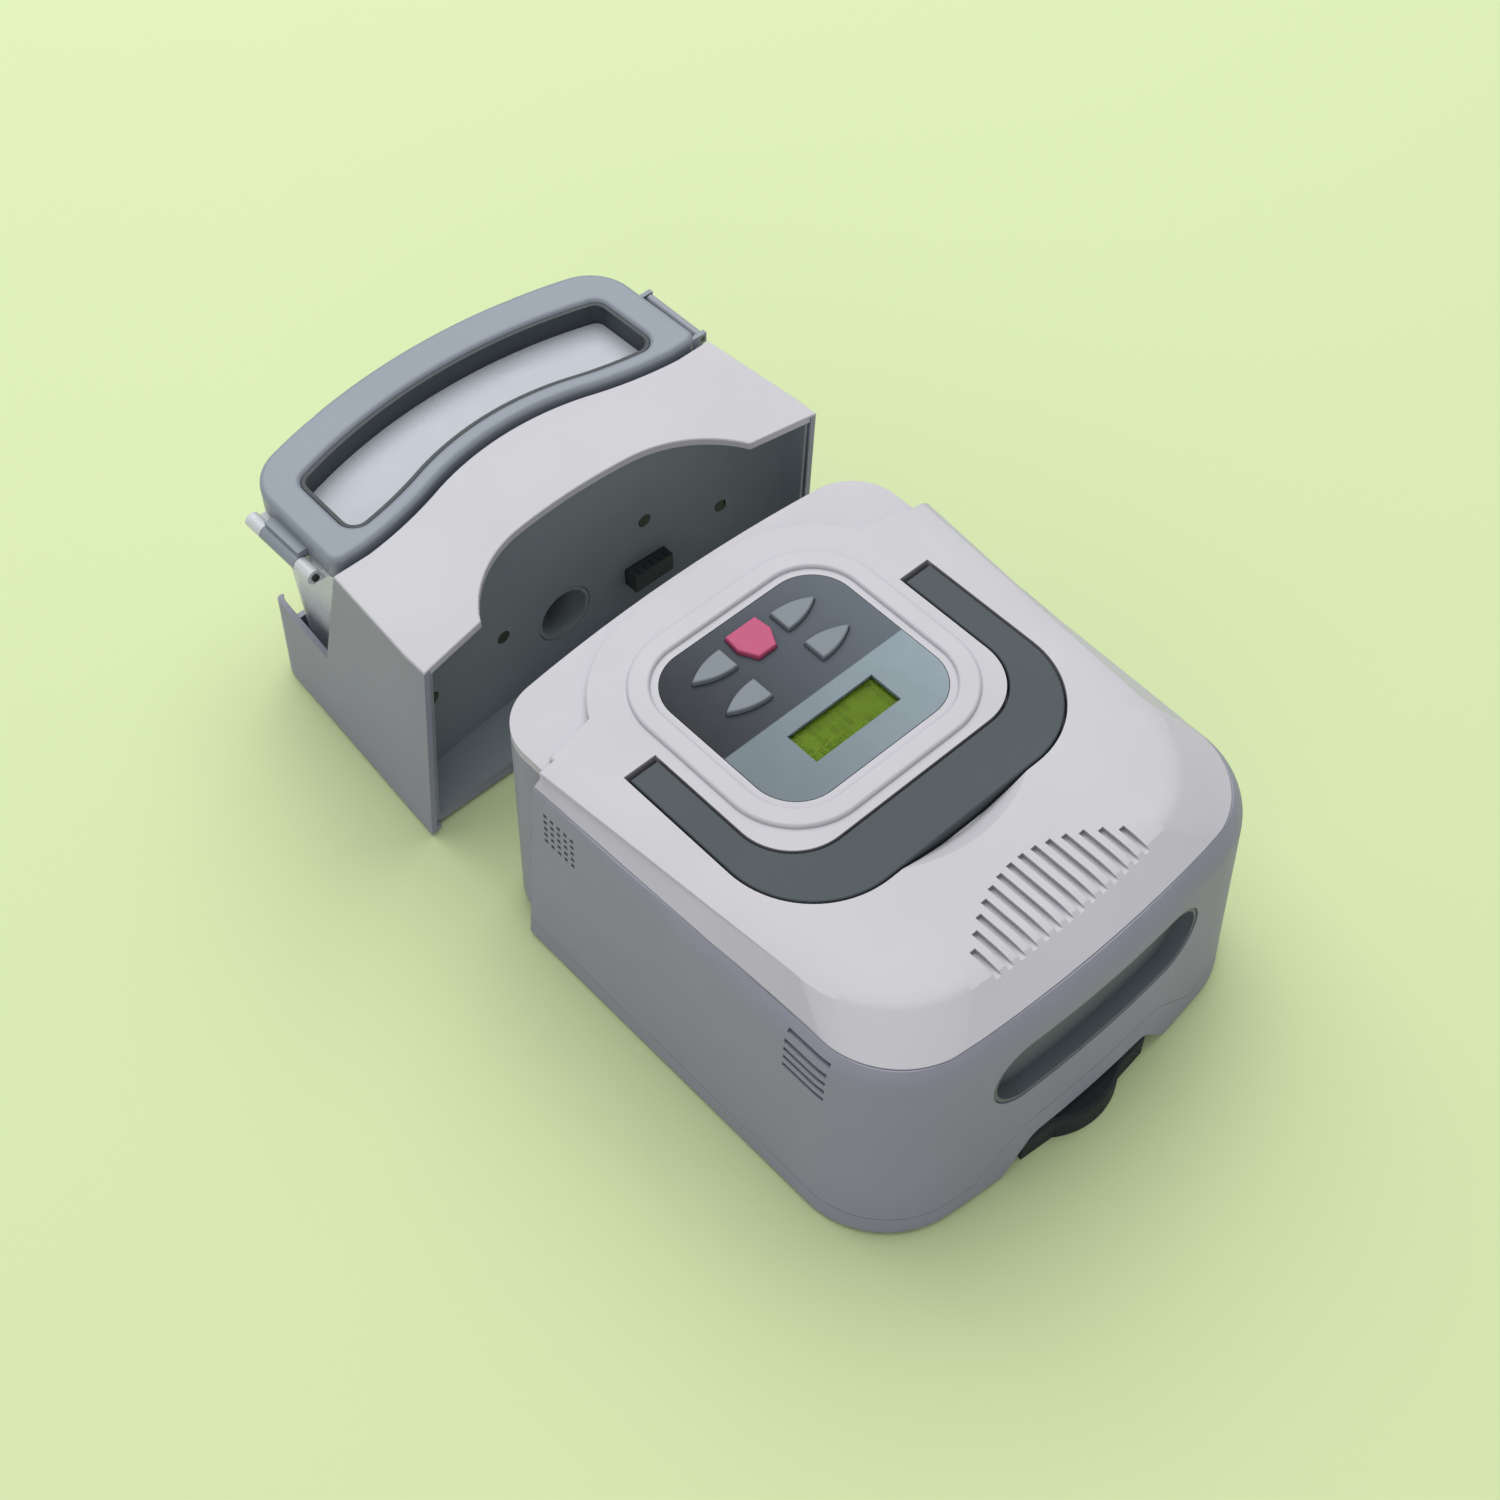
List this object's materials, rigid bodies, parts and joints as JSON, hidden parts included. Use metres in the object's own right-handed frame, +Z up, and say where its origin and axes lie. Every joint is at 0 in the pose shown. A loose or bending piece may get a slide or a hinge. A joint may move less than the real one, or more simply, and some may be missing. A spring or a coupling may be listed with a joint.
{
  "type": "positive airway pressure machine with humidifier",
  "caption": "Bench-top positive airway pressure machine with carrying handle, keypad and display, standing apart from its docking heated humidifier with a hinged chamber lid.",
  "frame": {"origin": "on the surface the modules stand on, under the middle of the whole object", "axes": "+X to the user's right, +Y from the machine's front to the back, +Z up"},
  "size_m": [0.1998, 0.3856, 0.1095],
  "materials": {
    "white_cover": "fine satin, off-white",
    "grey_case": "fine matt grey",
    "dark_plastic": "matt dark slate",
    "handle_grey": "fine grained slate grey",
    "black_rubber": "matt black",
    "panel": "smooth two-tone slate panel",
    "key_red": "satin pinkish red",
    "key_grey": "satin light grey",
    "display": "green-tinted display window",
    "display_module": "green display",
    "clear_plastic": "clear blue-tinted plastic",
    "lid_grey": "satin blue-grey",
    "circuit_board": "green solder mask",
    "steel": "bright steel",
    "heater_metal": "brushed",
    "motor_metal": "plain",
    "blower_plastic": "natural plastic",
    "foam": "open foam",
    "seal": "grey silicone"
  },
  "bodies": {
    "flow_generator": {"top_cover": "white_cover", "mid_case": "grey_case", "front_insert": "dark_plastic", "base_shell": "grey_case", "case_screws": "steel", "rubber_feet": "black_rubber", "front_foot": "black_rubber", "panel_plate": "panel", "lcd_window": "display", "lcd_module": "display_module", "control_board": "circuit_board", "key_switches": "dark_plastic", "handle_pins": "steel", "blower_housing": "blower_plastic", "blower_motor": "motor_metal", "blower_mounts": "seal", "air_outlet_tube": "dark_plastic", "outlet_gasket": "seal", "intake_filter": "foam", "main_board": "circuit_board", "power_jack": "dark_plastic", "dock_socket": "dark_plastic"},
    "handle": {"handle": "handle_grey"},
    "power_key": {"power_key": "key_red"},
    "left_rear_key": {"left_rear_key": "key_grey"},
    "right_rear_key": {"right_rear_key": "key_grey"},
    "left_front_key": {"left_front_key": "key_grey"},
    "right_front_key": {"right_front_key": "key_grey"},
    "impeller": {"impeller": "blower_plastic"},
    "humidifier": {"cradle_shell": "grey_case", "cradle_top": "white_cover", "dock_liner": "dark_plastic", "chamber_wall": "grey_case", "dock_screws": "steel", "inlet_duct": "dark_plastic", "duct_seal": "seal", "dock_plug": "dark_plastic", "humidifier_board": "circuit_board", "cradle_feet": "black_rubber", "heater_gasket": "seal", "heater_plate": "heater_metal"},
    "chamber": {"water_tub": "clear_plastic", "tub_base_plate": "heater_metal", "tub_port_seal": "seal", "air_baffle": "clear_plastic", "lid_hinge_pin": "steel"},
    "lid": {"lid_frame": "lid_grey", "lid_skirt": "dark_plastic", "lid_window": "clear_plastic", "latch_pin": "steel"},
    "latch": {"lid_latch": "lid_grey"}
  },
  "joints": [
    {"name": "handle_hinge", "type": "hinge", "parent": "flow_generator", "child": "handle", "pos_m": [0, -0.03155, 0.1025], "axis": [-1, 0, 0], "range_deg": [0, 95]},
    {"name": "power_key_press", "type": "slide", "parent": "flow_generator", "child": "power_key", "axis": [0, 0, -1], "range_m": [0, 0.0008], "stiffness_N_per_m": 400, "springref_m": -0.001},
    {"name": "left_rear_key_press", "type": "slide", "parent": "flow_generator", "child": "left_rear_key", "axis": [0, 0, -1], "range_m": [0, 0.0008], "stiffness_N_per_m": 400, "springref_m": -0.001},
    {"name": "right_rear_key_press", "type": "slide", "parent": "flow_generator", "child": "right_rear_key", "axis": [0, 0, -1], "range_m": [0, 0.0008], "stiffness_N_per_m": 400, "springref_m": -0.001},
    {"name": "left_front_key_press", "type": "slide", "parent": "flow_generator", "child": "left_front_key", "axis": [0, 0, -1], "range_m": [0, 0.0008], "stiffness_N_per_m": 400, "springref_m": -0.001},
    {"name": "right_front_key_press", "type": "slide", "parent": "flow_generator", "child": "right_front_key", "axis": [0, 0, -1], "range_m": [0, 0.0008], "stiffness_N_per_m": 400, "springref_m": -0.001},
    {"name": "impeller_spin", "type": "hinge", "parent": "flow_generator", "child": "impeller", "pos_m": [0.018, -0.04725, 0.032], "axis": [0, 0, 1], "continuous": true},
    {"name": "dock_slide", "type": "slide", "parent": "flow_generator", "child": "humidifier", "axis": [0, -1, 0], "range_m": [0, 0.06]},
    {"name": "chamber_slide", "type": "slide", "parent": "humidifier", "child": "chamber", "axis": [0, 1, 0], "range_m": [0, 0.07]},
    {"name": "lid_hinge", "type": "hinge", "parent": "chamber", "child": "lid", "pos_m": [-0.0937, 0.14875, 0.0974], "axis": [0, -1, 0], "range_deg": [0, 95]},
    {"name": "latch_hinge", "type": "hinge", "parent": "lid", "child": "latch", "pos_m": [0.0928, 0.13775, 0.105], "axis": [0, -1, 0], "range_deg": [0, 35], "stiffness_Nm_per_rad": 0.02}
  ]
}
